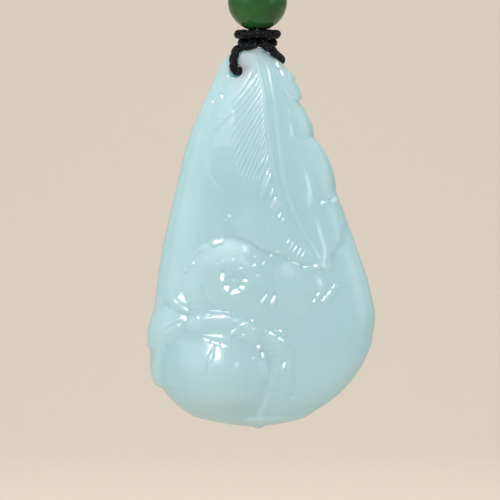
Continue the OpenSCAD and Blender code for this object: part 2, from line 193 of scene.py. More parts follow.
def glossy_black_nylon():
    """Black nylon whose fibres show a little: a few paler fibres are painted glints, and the gloss is
    not quite even.
    """
    material = bpy.data.materials.new("glossy_black_nylon")
    material.use_nodes = True
    nodes, links = material.node_tree.nodes, material.node_tree.links
    shader = nodes["Principled BSDF"]
    shader.inputs["Specular IOR Level"].default_value = NYLON_SHINE
    place = nodes.new("ShaderNodeTexCoord")
    fibre = nodes.new("ShaderNodeTexNoise")
    fibre.inputs["Scale"].default_value = FIBRES_A_METRE
    fibre.inputs["Detail"].default_value = FIBRE_DETAIL
    tone_and_glints = nodes.new("ShaderNodeValToRGB")
    tones_and_glints = tone_and_glints.color_ramp.elements
    tones_and_glints[0].position, tones_and_glints[0].color = DEEP_BLACK
    # The palest tone paints glints: bluish flecks on scattered fibres, in place of the braid's sparkle.
    tones_and_glints[1].position, tones_and_glints[1].color = PAINTED_GLINT_FIBRE
    tones_and_glints.new(FIBRE_BLACK[0]).color = FIBRE_BLACK[1]
    gloss = nodes.new("ShaderNodeMapRange")
    gloss.inputs["To Min"].default_value = NYLON_GLOSS[0]
    gloss.inputs["To Max"].default_value = NYLON_GLOSS[1]
    relief = nodes.new("ShaderNodeBump")
    relief.inputs["Strength"].default_value = RELIEF_STRENGTH
    relief.inputs["Distance"].default_value = FIBRE_RELIEF
    links.new(place.outputs["Object"], fibre.inputs["Vector"])
    links.new(fibre.outputs["Fac"], tone_and_glints.inputs["Fac"])
    links.new(fibre.outputs["Fac"], gloss.inputs["Value"])
    links.new(fibre.outputs["Fac"], relief.inputs["Height"])
    links.new(tone_and_glints.outputs["Color"], shader.inputs["Base Color"])
    links.new(gloss.outputs["Result"], shader.inputs["Roughness"])
    links.new(relief.outputs["Normal"], shader.inputs["Normal"])
    return material


black_nylon = glossy_black_nylon()
loop_mesh, loop_line = braid("hanging_loop_braid", np.array(LOOP_ROUTE) * MM)
loop = add_piece("hanging_loop_braid", loop_mesh, black_nylon, "hanging_loop")


# Stone cord: one length of the same braid, doubled. It comes down through the bead on one side, over
# the tip, through the slanting hole of the stone, and goes up again through the bead. Its route gives
# places across, back, and up from the middle of the bead's underside, in mm.
STONE_CORD_ROUTE = [
    (-0.73, 0, 9), (-0.73, 0, 4.5), (-0.73, 0, 0.3), (-0.73, -0.05, -0.7), (-0.7, -0.35, -1.3),
    (-0.4, -1, -1.85), (-0.75, -1.72, -2.3), (-1.65, -1.98, -2.42), (-2.6, -2, -2.6),
    (-3.25, -2.1, -3.15), (-3.55, -2.3, -4), (-3.65, -2.58, -4.9), (-3.55, -2.72, -5.6),
    (-3.35, -2.25, -6.1), (-2.95, -1.3, -6.15), (-2.2, 0, -6.15), (-1.4, 1.39, -6.15), (-1.05, 2.2, -6),
    (-0.4, 2.65, -5.5), (0.7, 2.6, -5.05), (2, 2.35, -4.8), (3.1, 1.9, -4.6), (3.57, 1.2, -4.32),
    (3.32, 0.5, -4.05), (2.84, -0.3, -3.67), (2.37, -1.2, -3.14), (1.88, -1.72, -2.64),
    (1.3, -1.75, -2.35), (0.95, -1, -1.88), (0.85, -0.35, -1.32), (0.73, -0.05, -0.7), (0.73, 0, 0.3),
    (0.73, 0, 4.5), (0.73, 0, 9),
]
BEAD_RADIUS = 4.5 * MM
bead_low, bead_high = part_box("bead")
bead_middle = (bead_low[2] + bead_high[2]) / 2
bead_underside = [0, 0, bead_middle - BEAD_RADIUS]
stone_cord_mesh, _ = braid("stone_cord_braid", np.array(STONE_CORD_ROUTE) * MM + bead_underside)
add_piece("stone_cord_braid", stone_cord_mesh, black_nylon, "stone_cord")


# Neck wrap: one tight turn of the braid round both strands, pushed up against the bead. It holds the
# strands together and keeps the bead from sliding down on to the stone.
WRAP_POINTS = 32
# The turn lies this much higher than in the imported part, so that it meets the bead.
WRAP_RISE = 0.15 * MM
wrap_low, wrap_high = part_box("neck_wrap")
wrap_turn = np.linspace(0, 2 * math.pi, WRAP_POINTS + 1)
wrap_mesh, _ = braid("neck_wrap_braid", np.stack([
    (wrap_high[0] - wrap_low[0] - CORD_WIDTH) / 2 * np.sin(wrap_turn),
    (wrap_high[1] - wrap_low[1] - CORD_WIDTH) / 2 * np.cos(wrap_turn),
    np.full(len(wrap_turn), (wrap_low[2] + wrap_high[2]) / 2 + WRAP_RISE),
], axis=1))
add_piece("neck_wrap_braid", wrap_mesh, black_nylon, "neck_wrap")


# Tucked end: the rest of the cord that makes the wrap. It lies behind the strands, between the wrap
# and the stone's tip, where it is pulled tight, cut off and melted round at its ends. Its route is
# given like the stone cord's.
TUCKED_ROUTE = [
    (-3, 0.95, -1.75), (-2.2, 1.1, -1.75), (0, 1.17, -1.75), (2.2, 1.1, -1.75), (3, 0.95, -1.75),
]
tucked_mesh, _ = braid("tucked_end_braid", np.array(TUCKED_ROUTE) * MM + bead_underside,
                       melted_ends=True)
add_piece("tucked_end_braid", tucked_mesh, black_nylon, "neck_wrap")


# Upper knot: close turns of the braid wound round the strands above the bead, drawn tight so that
# they bed on each other. The turns climb in one winding, whose first and last half turns lie level.
KNOT_TURNS = 3
STEPS_A_TURN = 16
LEVEL_PART = 0.5
knot_low, knot_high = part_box("upper_knot")
knot_turn = np.arange(KNOT_TURNS * STEPS_A_TURN + 1) / STEPS_A_TURN
knot_radius = (knot_high[0] - knot_low[0] - CORD_WIDTH) / 2
knot_climb = np.clip((knot_turn - LEVEL_PART) / (KNOT_TURNS - 2 * LEVEL_PART), 0, 1)
knot_mesh, _ = braid("upper_knot_braid", np.stack([
    knot_radius * np.sin(2 * math.pi * knot_turn),
    knot_radius * np.cos(2 * math.pi * knot_turn),
    knot_low[2] + CORD_WIDTH / 2 + (knot_high[2] - knot_low[2] - CORD_WIDTH) * knot_climb,
], axis=1))
add_piece("upper_knot_braid", knot_mesh, black_nylon, "upper_knot")


# Bead: a ball of dark green nephrite, drilled through for both strands and polished all over, with
# the lips of the bore softly rounded. The stone is a little cloudy, and light goes some way into it.
BEAD_BORE = 3.1 * MM
BEAD_LIP = 0.12 * MM
BEAD_SIDES = 96
BEAD_RINGS = 64
# The lip's arc starts this far round, in radians, and the bore this many lips from its mouth.
LIP_START = 0.25
BORE_START = 1.5
LIP_RINGS = 6
BORE_RINGS = 12


def drilled_ball(radius, bore, middle_z):
    """A drilled ball, turned from its profile, with a softly rounded lip at each end of the bore."""
    edge = math.asin((bore / 2 + BEAD_LIP) / radius)
    outside = [(radius * math.sin(a), radius * math.cos(a))
               for a in np.linspace(edge, math.pi - edge, BEAD_RINGS)]
    mouth = radius * math.cos(edge)
    lip = [(bore / 2 + BEAD_LIP * (1 - math.sin(a)), -mouth + BEAD_LIP * (1 - math.cos(a)))
           for a in np.linspace(LIP_START, math.pi / 2, LIP_RINGS)]
    bore_end = mouth - BORE_START * BEAD_LIP
    inside = [(bore / 2, z) for z in np.linspace(-bore_end, bore_end, BORE_RINGS)]
    profile = outside + lip + inside + [(r, -z) for r, z in reversed(lip)]
    turn = np.arange(BEAD_SIDES) * 2 * math.pi / BEAD_SIDES
    verts = [(r * math.cos(a), r * math.sin(a), middle_z + z) for r, z in profile for a in turn]
    faces = []
    for i in range(len(profile)):
        for j in range(BEAD_SIDES):
            k = (j + 1) % BEAD_SIDES
            a, b = i * BEAD_SIDES, (i + 1) % len(profile) * BEAD_SIDES
            faces.append((a + j, b + j, b + k, a + k))
    mesh = bpy.data.meshes.new("green_bead")
    mesh.from_pydata(verts, [], faces)
    mesh.update()
    return mesh


# The jade's clouds, its uneven polish and its grain are noises: how fine each is, and how detailed.
# The part of the clouds' noise in the spread runs from the dark to the light colour.
CLOUD_DETAIL, CLOUD_ROUGHNESS = 4, 0.55
CLOUD_SPREAD = (0.32, 0.68)
PATCHES_A_METRE, PATCH_DETAIL = 420, 3
GRAINS_A_METRE, GRAIN_DETAIL = 900, 2
NEPHRITE_IOR = 1.61


def clouded_stone():
    """Shader group for polished stone: its colour clouds softly, and its polish is not quite even."""
    group = bpy.data.node_groups.new("clouded_stone", "ShaderNodeTree")
    for name, kind in (("Clouds a Metre", "NodeSocketFloat"), ("Dark Colour", "NodeSocketColor"),
                       ("Light Colour", "NodeSocketColor"), ("Best Polish", "NodeSocketFloat"),
                       ("Worst Polish", "NodeSocketFloat")):
        group.interface.new_socket(name=name, in_out="INPUT", socket_type=kind)
    for name, kind in (("Colour", "NodeSocketColor"), ("Roughness", "NodeSocketFloat"),
                       ("Height", "NodeSocketFloat")):
        group.interface.new_socket(name=name, in_out="OUTPUT", socket_type=kind)
    nodes, links = group.nodes, group.links
    given, result = nodes.new("NodeGroupInput"), nodes.new("NodeGroupOutput")
    place = nodes.new("ShaderNodeTexCoord")
    cloud = nodes.new("ShaderNodeTexNoise")
    cloud.inputs["Detail"].default_value = CLOUD_DETAIL
    cloud.inputs["Roughness"].default_value = CLOUD_ROUGHNESS
    spread = nodes.new("ShaderNodeMapRange")
    spread.inputs["From Min"].default_value = CLOUD_SPREAD[0]
    spread.inputs["From Max"].default_value = CLOUD_SPREAD[1]
    blend = nodes.new("ShaderNodeMix")
    blend.data_type = "RGBA"
    wear = nodes.new("ShaderNodeTexNoise")
    wear.inputs["Scale"].default_value = PATCHES_A_METRE
    wear.inputs["Detail"].default_value = PATCH_DETAIL
    polish = nodes.new("ShaderNodeMapRange")
    grain = nodes.new("ShaderNodeTexNoise")
    grain.inputs["Scale"].default_value = GRAINS_A_METRE
    grain.inputs["Detail"].default_value = GRAIN_DETAIL
    links.new(place.outputs["Object"], cloud.inputs["Vector"])
    links.new(place.outputs["Object"], wear.inputs["Vector"])
    links.new(place.outputs["Object"], grain.inputs["Vector"])
    links.new(given.outputs["Clouds a Metre"], cloud.inputs["Scale"])
    links.new(cloud.outputs["Fac"], spread.inputs["Value"])
    links.new(spread.outputs["Result"], blend.inputs["Factor"])
    links.new(given.outputs["Dark Colour"], blend.inputs["A"])
    links.new(given.outputs["Light Colour"], blend.inputs["B"])
    links.new(wear.outputs["Fac"], polish.inputs["Value"])
    links.new(given.outputs["Best Polish"], polish.inputs["To Min"])
    links.new(given.outputs["Worst Polish"], polish.inputs["To Max"])
    links.new(blend.outputs["Result"], result.inputs["Colour"])
    links.new(polish.outputs["Result"], result.inputs["Roughness"])
    links.new(grain.outputs["Fac"], result.inputs["Height"])
    return group


def polished_jade(name, group, clouds_a_metre, dark, light, shine, polish, grain, glow, glow_depth):
    """A jade clouded from the dark to the light colour. Its polish runs from best to worst, its grain is
    a height, and light that goes in comes out again up to the glow depth away, in the glow's tint."""
    material = bpy.data.materials.new(name)
    material.use_nodes = True
    nodes, links = material.node_tree.nodes, material.node_tree.links
    shader = nodes["Principled BSDF"]
    stone = nodes.new("ShaderNodeGroup")
    stone.node_tree = group
    stone.inputs["Clouds a Metre"].default_value = clouds_a_metre
    stone.inputs["Dark Colour"].default_value = (*dark, 1)
    stone.inputs["Light Colour"].default_value = (*light, 1)
    stone.inputs["Best Polish"].default_value = polish[0]
    stone.inputs["Worst Polish"].default_value = polish[1]
    relief = nodes.new("ShaderNodeBump")
    relief.inputs["Strength"].default_value = RELIEF_STRENGTH
    relief.inputs["Distance"].default_value = grain
    links.new(stone.outputs["Colour"], shader.inputs["Base Color"])
    links.new(stone.outputs["Roughness"], shader.inputs["Roughness"])
    links.new(stone.outputs["Height"], relief.inputs["Height"])
    links.new(relief.outputs["Normal"], shader.inputs["Normal"])
    shader.inputs["IOR"].default_value = NEPHRITE_IOR
    shader.inputs["Specular IOR Level"].default_value = shine
    shader.inputs["Subsurface Weight"].default_value = 1
    shader.inputs["Subsurface Radius"].default_value = glow
    shader.inputs["Subsurface Scale"].default_value = glow_depth
    return material


clouds = clouded_stone()
green_nephrite = polished_jade(
    "green_nephrite", clouds, clouds_a_metre=260,
    dark=(0.021, 0.100, 0.025), light=(0.033, 0.150, 0.035), shine=0.28, polish=(0.08, 0.13),
    grain=0.003 * MM, glow=(0.5, 1.0, 0.45), glow_depth=1.8 * MM)
bead_mesh = drilled_ball(BEAD_RADIUS, BEAD_BORE, bead_middle)
add_piece("green_bead", bead_mesh, green_nephrite, "bead")


# Carved stone: a drop-shaped pebble of pale nephrite, 58 mm high, ground round and polished all over.
# Its front is cut in relief with small wheels: a long leaf hangs from the tip over the right edge, and
# below it lie a cloud head and two round fruits, tied with folded leaves. The back is left plain.
BODY_END = 426.8
TIP_ROWS, BODY_ROWS, FOOT_ROWS = 12, 292, 48
FRONT_COLUMNS, BACK_COLUMNS = 232, 32
# Cross-sections of the pebble: down, left edge, right edge in parts, front and back depth in mm.
SECTIONS = np.array([
    (53, 230, 268, 1.98, 1.2), (58, 225, 275.5, 2.06, 1.5), (65, 220, 284, 2.14, 1.8),
    (69, 218.3, 286.7, 2.18, 1.87), (73, 216.6, 289, 2.22, 1.96), (102, 204, 298.5, 2.6, 2.6),
    (137.5, 189, 313.5, 3.05, 3.1), (190.5, 175.5, 336, 3.7, 3.6), (245, 163, 356, 4.3, 4.1),
    (276.5, 158, 367, 4.6, 4.3), (308.5, 154, 374.5, 4.7, 4.5), (320.5, 152, 375, 4.7, 4.5),
    (341.5, 148, 372, 4.6, 4.5), (350.5, 150.5, 369, 4.5, 4.4), (368.5, 157, 360.5, 4.4, 4.2),
    (388.5, 163, 345, 4.0, 3.8), (400.5, 172, 331, 3.6, 3.4), (408, 180.5, 320, 3.1, 3.0),
    (416, 192, 307, 2.4, 2.3),
])
# Where the tip and the foot close, across, and how square their outlines, the tip's front and the
# cross-sections are. 2 is round.
TOP_POLE, TOP_SQUARE = 250.5, 2.6
FRONT_TOP_SQUARE = 4
BOTTOM_POLE, BOTTOM_SQUARE = 254, 1.35
SECTION_SQUARE = 2.3
ROUND = 2
# The small tail at the foot: its start and end down, its middle across and its half width in parts;
# how far it stands out in front and behind, and its point in front, in mm; and how square it is.
TAIL_START, TAIL_END, TAIL_AT, TAIL_HALF_WIDTH = 420, 428.3, 259, 7
TAIL_FRONT, TAIL_BACK, TAIL_POINT = 1.3, 0.5, 0.3
TAIL_SQUARE = 2.4
# Widths over which the carving dies out towards the sides, the tip and the foot, and how close to the
# rim the lobes' swelling keeps: the higher, the closer.
RIM, TIP_RIM, FOOT_RIM = 4, 12, 7
SWELL_AT_RIM = 6
# Down, and the middle and spread of the fine carving there. The front's columns lie closer over it and
# at the edges, where this much is added to their density of 1.
FINE_CARVING = np.array([(60, 258, 26), (150, 258, 26), (240, 262, 62), (290, 258, 90), (420, 235, 75)])
FINE_DENSITY, EDGE_DENSITY = 1.8, 1.5
SPACING_STEPS = 801
# Lobes of the leaves that swell the outline: from, to, side (-1 is left), swell, lean, roundness.
LOBES = [
    (70, 83, 1, 5, 1, 0.7), (77, 101.5, 1, 6, 1.5, 0.45), (102, 137.5, 1, 4.8, 1, 0.8),
    (137.5, 190.5, 1, 6.2, 0.8, 0.9), (308.5, 341.5, -1, 2.5, 1.3, 1), (341.5, 350.5, -1, 1.6, 1, 0.7),
    (350.5, 388.5, -1, 7.8, 2, 0.5),
]
# The long leaf: down, left edge, right edge, and the width over which it rises from its left edge. A
# right edge at 400 lies past the stone's own.
LEAF = np.array([
    (55, 253, 400, 24), (64, 249, 400, 30), (72, 244, 400, 36), (92, 232, 400, 42), (103, 225, 400, 46),
    (127, 214, 400, 50), (146, 208, 400, 54), (176, 210, 400, 52), (187, 214, 400, 46),
    (205, 217, 400, 42), (225, 219, 347, 32), (236, 233, 346, 14), (242, 248, 345, 9),
    (249, 258, 340, 6), (255, 280, 335, 6), (262, 290, 333, 6), (270, 324, 334, 6), (273, 332, 335, 6),
])
# Its rise in mm, and the widths over which it falls at its right edge and grows below the tip.
LEAF_RISE = 0.42
LEAF_FALL = 8
LEAF_START = 60
# The midrib's left line, from which the veins of the leaf's left half run down and to the left.
MIDRIB = [(258, 63), (265, 95), (268, 130), (273, 160), (280, 200), (287, 218), (298, 238), (311, 257)]
VEIN_SPACING = 5.4
VEIN_DEPTH = 0.12
# The share of their height by which the veins are sunk into the leaf.
VEIN_SINK = 0.7
# How steeply the veins fall, how much they fan out, and where on the midrib that vein starts from
# which they fan out both ways.
VEIN_FALL, VEIN_FAN, VEIN_FAN_AT = 1.25, 0.012, 90
# Down, and how far from the midrib the veins reach there.
VEIN_REACH = np.array([(70, 16), (100, 36), (140, 42), (178, 40), (186, 16), (196, 4)])
# How far from the midrib they begin, and the first and the last place down that they are cut at. Then
# the widths over which they rise beside the midrib, die out at their ends, and fade at the first and
# the last place.
VEIN_GAP, FIRST_VEIN, LAST_VEIN = 2, 66, 192
VEIN_RISE, VEIN_END, FIRST_FADE, LAST_FADE = 4, 14, 8, 36
# Rounded forms: across, down, half width, half height, turn in degrees, rise in mm, and how flat the
# top and how soft the foot is.
FORMS = [
    (228, 285, 50, 47, 0, 0.36, 3.2, 1.5), (214, 376, 55, 53, 0, 2.45, 1.8, 1.1),
    (223, 328, 42, 19, 8, 0.75, 4.5, 1.3), (303, 286, 38, 30, 8, 0.3, 2.5, 2),
    (166, 327, 27, 22, -28, 0.4, 2.2, 1.6), (160, 366, 12, 26, 4, 0.4, 3, 1),
    (178, 303, 17, 10, 35, 0.35, 2.6, 1.5), (275, 344, 22, 12, 33, 0.3, 2.4, 1.5),
    (281, 376, 13, 30, 6, 0.28, 3, 1.5), (249, 343, 16, 17, -10, 0.5, 2.4, 1.6),
]
# How closely the forms run into each other: the higher, the sharper the valley between them.
FORM_BLEND = 8
# The flat leaf round the upper fruit's stalk, which stands on the fruit: the same columns.
CALYX = (234, 283, 30, 26, 0, 0.03, 8, 1.3)
# The puffed lobes of the leaf's right half, which stand on the leaf: the same columns.
LEAF_LOBES = [
    (286, 80, 8, 14, -20, 0.08, 3, 2), (297, 118, 22, 21, 40, 0.14, 3, 2),
    (312, 166, 27, 36, -22, 0.16, 3, 2), (325, 230, 24, 30, -20, 0.14, 3, 2),
]
# Ridges, and grooves where the height is below zero: height in mm, half width on the left and on the
# right hand of one who goes along the line, and the line's points.
LINES = [
    (-0.04, 2, 2, [(229, 105), (236, 113), (222, 127), (213, 135), (210, 145), (209, 160), (212, 175),
                  (218, 185), (223, 188)]),
    (0.05, 1.6, 1.6, [(222, 97), (214, 101), (208, 107), (208, 114), (213, 118), (220, 116)]),
    (-0.14, 2.4, 3, [(315, 136), (309, 138.5), (302, 139)]),
    (0.07, 1.8, 1.8, [(346, 226), (345, 239), (341, 248), (337, 253), (329, 257)]),
    (-0.10, 2, 2.4, [(267, 257), (272, 251), (278, 249.5), (285, 252), (291, 261)]),
    (0.07, 1.6, 1.6, [(309, 306), (309, 314)]),
    (0.06, 1.8, 2, [(224, 241), (217, 242), (211, 245)]),
    (0.05, 2, 2, [(207, 246), (195, 254), (188, 263)]),
    (0.12, 1.8, 2, [(195, 262), (190, 265), (186, 271)]),
    (0.06, 2, 2, [(180, 273), (177, 283), (177, 292)]),
    (-0.08, 2, 2, [(203, 284), (205, 294), (209, 302), (218, 308.5)]),
    (0.07, 1.4, 1.4, [(231, 285), (234, 281), (238, 282)]),
    (0.12, 2.6, 2.6, [(187, 317), (176, 320), (165, 325), (157, 332), (152, 339)]),
    (0.08, 2, 2, [(180, 325), (169, 331), (161, 339), (156, 349)]),
    (-0.22, 3, 3, [(168, 343), (162, 360), (161, 375), (167, 391)]),
    (-0.13, 1.6, 1.6, [(216, 344), (209, 358), (206, 378)]),
    (-0.09, 1.5, 1.5, [(214.5, 351), (210.5, 363)]),
    (-0.05, 3, 3, [(243, 352), (247, 370), (245, 392), (236, 412)]),
    (-0.04, 3, 3, [(190, 350), (180, 370), (183, 395), (196, 412)]),
    (0.10, 1.7, 1.7, [(290, 341), (294.5, 347), (292, 354), (284, 358)]),
    (0.08, 2.2, 2.2, [(288, 360), (291, 375), (291, 392), (301, 405)]),
    (0.30, 4.5, 4, [(262, 356), (265, 374), (271, 381), (267, 398), (262, 412), (258, 428)]),
]
# Crisp strokes with flat flanks, which gleam: slope of the flanks, half width, and the stroke's line.
CRISP_LINES = [
    (0.27, 2.2, [(171, 298), (180, 304.5), (190, 313)]), (0.25, 1.6, [(178, 294), (182.5, 302)]),
    (0.25, 1.6, [(180, 290), (185, 299)]), (0.26, 1.8, [(190, 316), (183, 321), (177, 327)]),
    (0.27, 2.2, [(267, 330.5), (276, 335), (287, 342.5)]), (0.25, 1.6, [(272, 327), (285, 333)]),
    (0.25, 1.6, [(257, 330), (268, 331), (274, 333)]),
    (0.28, 2.8, [(255, 339), (259, 350), (267, 360)]), (0.26, 1.7, [(263, 343), (273, 350)]),
    (0.26, 2.2, [(336, 281), (334, 288), (327, 297), (320, 304), (309, 310)]),
    (0.25, 1.7, [(320, 290), (316, 298), (309, 306)]),
    (0.26, 2.1, [(275.5, 290), (275, 299), (271, 306)]),
    (0.22, 1.7, [(267, 290), (265, 298), (261, 304.5)]),
    (0.24, 2.0, [(288, 258), (293, 263), (299, 266), (310, 267), (322, 268)]),
    (0.18, 1.7, [(289, 266), (305, 271), (322, 278)]),
    (0.27, 2.0, [(201, 335), (215, 341), (226, 344), (233, 348)]),
    (0.26, 1.8, [(230, 335), (238, 325), (249, 321)]),
    (0.25, 1.8, [(286, 358), (284.5, 364), (283, 370)]),
    (0.24, 3.6, [(340, 198), (330, 201), (316, 205)]),
    (0.22, 1.6, [(204.5, 266), (203, 274), (203.5, 281)]),
    (0.34, 2.0, MIDRIB),
    (0.38, 2.2, [(268, 62), (275, 105), (279, 145), (284, 185), (293, 212), (305, 236), (318, 258)]),
    (0.20, 1.8, [(267, 57), (271, 66), (275, 78)]), (0.20, 2.0, [(274, 57), (279, 68), (285, 80)]),
    (0.20, 2.2, [(280, 80), (286, 90), (292, 98), (300, 108)]),
    (0.18, 1.8, [(252, 72), (247, 83), (240, 94), (232, 103)]), (0.22, 1.8, [(218, 311), (233, 318)]),
    (0.24, 2.4, [(236, 235), (243, 238), (251, 241.5), (258, 245), (263, 251)]),
]
# The steep fine cuts beside the midrib, and the last short ones near the leaf's lower edge: from, to.
CUTS = [
    (265, 131, 256, 152), (264, 142, 260, 150), (262, 152, 258, 162), (264, 158, 257, 173),
    (269, 158, 259, 182), (269, 170, 262, 190), (268, 182, 261, 200), (274, 190, 270, 199),
    (277, 198, 271, 210), (281, 204, 273, 216), (282, 214, 278, 220), (285, 218, 282, 223),
    (290, 240, 287, 246), (294, 242, 290, 250), (298, 245, 293, 254), (302, 248, 297, 257),
    (306, 251, 301, 259), (271, 175, 263, 196), (279, 201, 272, 213),
]
CUT_HEIGHT = 0.11
CUT_WIDTH = 1.3
# How fast and in what curve every line rises from its pointed ends, and how many half widths away
# from its middle it has died out.
POINT_RISE, POINT_CURVE, LINE_REACH = 6, 0.6, 3
# Soft unevenness of the lower fruit's crown, and at last a swelling under the leaf's lower left edge:
# across, down, radius in parts, height in mm.
UNEVEN = [
    (204, 353, 5, 0.03), (213, 350, 4, 0.02), (222, 356, 5, 0.03), (209, 361, 4.5, 0.025),
    (226, 363, 4, 0.02), (200, 362, 4, 0.02), (217, 366, 5, 0.02), (249, 252, 6, 0.06),
]
# Flat facets left by the wheel, which all gleam in the same light: half width, and the line along
# which they follow each other.
FACETS = [
    (3.0, [(222.3, 271), (222.8, 283)]), (3.0, [(223.5, 284.5), (230, 291)]),
    (3.0, [(230.5, 292), (240.5, 290.5)]), (3.0, [(241, 290), (246.5, 277)]),
    (2.2, [(173, 299.5), (189, 311.5)]), (2.0, [(178, 294.5), (182, 301.5)]),
    (2.0, [(180, 290.5), (184.5, 298)]), (2.3, [(188.5, 317), (177.5, 326.5)]),
    (2.0, [(203, 337), (215, 342), (229, 346)]), (2.0, [(231, 334), (238, 325.5), (248, 322)]),
    (2.4, [(268, 331), (285, 341)]), (2.0, [(273, 328), (284, 332.5)]),
    (2.0, [(264, 344.5), (272, 349.5)]),
    (2.7, [(256.5, 342.5), (260, 350), (265, 357)]), (2.4, [(285, 360), (283, 368)]),
    (3.2, [(335, 283), (329, 292), (321, 301)]), (2.8, [(319, 291), (312, 303)]),
    (2.2, [(275, 293), (271, 304.5)]), (2.0, [(267, 292), (261.5, 303.5)]),
    (2.6, [(290, 260.5), (300, 265.5)]), (2.9, [(301, 266), (319, 266.5)]),
    (2.6, [(337, 200), (318, 203.5)]),
    (2.3, [(275.5, 61), (279.5, 69), (284, 77)]), (2.3, [(213, 244), (222, 241.5)]),
]
# A facet's greatest length in parts, and the share of it over which the facet stays flat.
FACET_LENGTH = 9
FACET_SHARE = 0.55
# How far a facet leans to the left and up, and how much more it leans up with each part further down.
LEAN_LEFT, LEAN_UP, LEAN_CHANGE = 0.10, 0.24, 0.00026
# Single marks of the same kind: across, down, radius.
MARKS = [
    (228, 77, 1.6), (222, 97, 2.2), (213, 102, 2.1), (220, 127, 1.4), (289, 112, 1.6), (287, 119, 1.4),
    (267, 224, 1.6), (268, 229, 1.4), (247, 213, 1.4), (229, 216, 2.0), (226, 220, 1.6), (187, 270, 2.2),
    (193, 264, 1.7), (241, 268, 2.1), (218, 263, 1.6), (224, 262, 1.4), (234, 258, 1.6),
    (238, 260.5, 1.4), (243, 258, 1.4), (254, 265, 2.2), (255, 257, 1.6), (263, 263, 2.1),
    (257, 275, 1.9), (197, 306, 2.2),
    (198, 317, 2.7), (195, 319, 1.6), (209, 314, 2.1), (243, 334, 2.5), (252, 320, 2.2), (269, 327, 1.6),
    (253, 357, 1.9), (159, 354, 1.4), (166, 310, 1.4), (293, 396, 1.9), (333, 271, 1.6), (338, 345, 1.1),
    (327, 362, 1.1), (342, 317, 1.1),
]
# The pit of the upper fruit's stalk: across, down, radius of its floor and of its brim, depth in mm.
PIT = (234, 281, 7.5, 13, 0.20)
# The cord hole, level, from the front left to the back right: its width, where its middle lies across
# and back and how far below the tip, and its turn away from straight across.
HOLE_WIDTH = 2 * MM
HOLE_AT = (-2.2 * MM, 0)
HOLE_DROP = 3.65 * MM
HOLE_TURN = math.radians(60)
HOLE_SIDES = 64


def ease(q):
    """A soft step from 0 to 1."""
    k = np.clip(q, 0, 1)
    return k * k * (3 - 2 * k)


def smooth_reading(table, at, column):
    """One column of a table, read along a smooth line through its rows."""
    down, value = table[:, 0], table[:, column]
    slope = np.gradient(value) / np.gradient(down)
    i = np.clip(np.searchsorted(down, at) - 1, 0, len(down) - 2)
    span = down[i + 1] - down[i]
    k = np.clip((at - down[i]) / span, 0, 1)
    a, b, s, e = value[i], value[i + 1], slope[i] * span, slope[i + 1] * span
    return a + k * (s + k * (3 * (b - a) - 2 * s - e + k * (s + e - 2 * (b - a))))


def swell(down, side):
    """How far the leaves' lobes on one side swell the outline."""
    out = np.zeros_like(down)
    for start, end, lobe_side, reach, lean, roundness in LOBES:
        if lobe_side == side:
            k = np.clip((down - start) / (end - start), 0, 1) ** lean
            out = np.maximum(out, reach * (4 * k * (1 - k)) ** roundness)
    return out


def rounding(share, square):
    """How far a closing end still reaches, from 1 at its start to 0 at its pole."""
    return (1 - np.clip(share, 0, 1) ** square) ** (1 / square)


def sections(down):
    """Left edge, right edge in parts, front and back depth in mm, of the pebble at each row."""
    first, last = SECTIONS[0, 0], SECTIONS[-1, 0]
    inside = np.clip(down, first, last)
    top = np.clip((first - down) / (first - TIP_AT), 0, 1)
    bottom = np.clip((down - last) / (BODY_END - last), 0, 1)
    reach = rounding(top, TOP_SQUARE) * rounding(bottom, BOTTOM_SQUARE)
    left = smooth_reading(SECTIONS, inside, 1)
    right = smooth_reading(SECTIONS, inside, 2)
    middle = (left + right) / 2 * (1 - top - bottom) + TOP_POLE * top + BOTTOM_POLE * bottom
    half = (right - left) / 2 * reach
    front = smooth_reading(SECTIONS, inside, 3) * rounding(top, FRONT_TOP_SQUARE)
    front = front * rounding(bottom, ROUND)
    back = smooth_reading(SECTIONS, inside, 4) * rounding(top, ROUND) * rounding(bottom, ROUND)
    tail = rounding((down - TAIL_START) / (TAIL_END - TAIL_START), TAIL_SQUARE) * (down > TAIL_START)
    left = np.minimum(middle - half, np.where(tail > 0, TAIL_AT - TAIL_HALF_WIDTH * tail, np.inf))
    right = np.maximum(middle + half, np.where(tail > 0, TAIL_AT + TAIL_HALF_WIDTH * tail, -np.inf))
    return left, right, np.maximum(front, TAIL_FRONT * tail), np.maximum(back, TAIL_BACK * tail)


def form_rise(x, y, form):
    """Height of one rounded form at places in parts."""
    across, down, half_width, half_height, turn, rise, flatness, softness = form
    c, s = math.cos(math.radians(turn)), math.sin(math.radians(turn))
    u = ((x - across) * c + (y - down) * s) / half_width
    w = ((y - down) * c - (x - across) * s) / half_height
    return rise * (1 - np.clip(np.hypot(u, w), 0, 1) ** flatness) ** softness


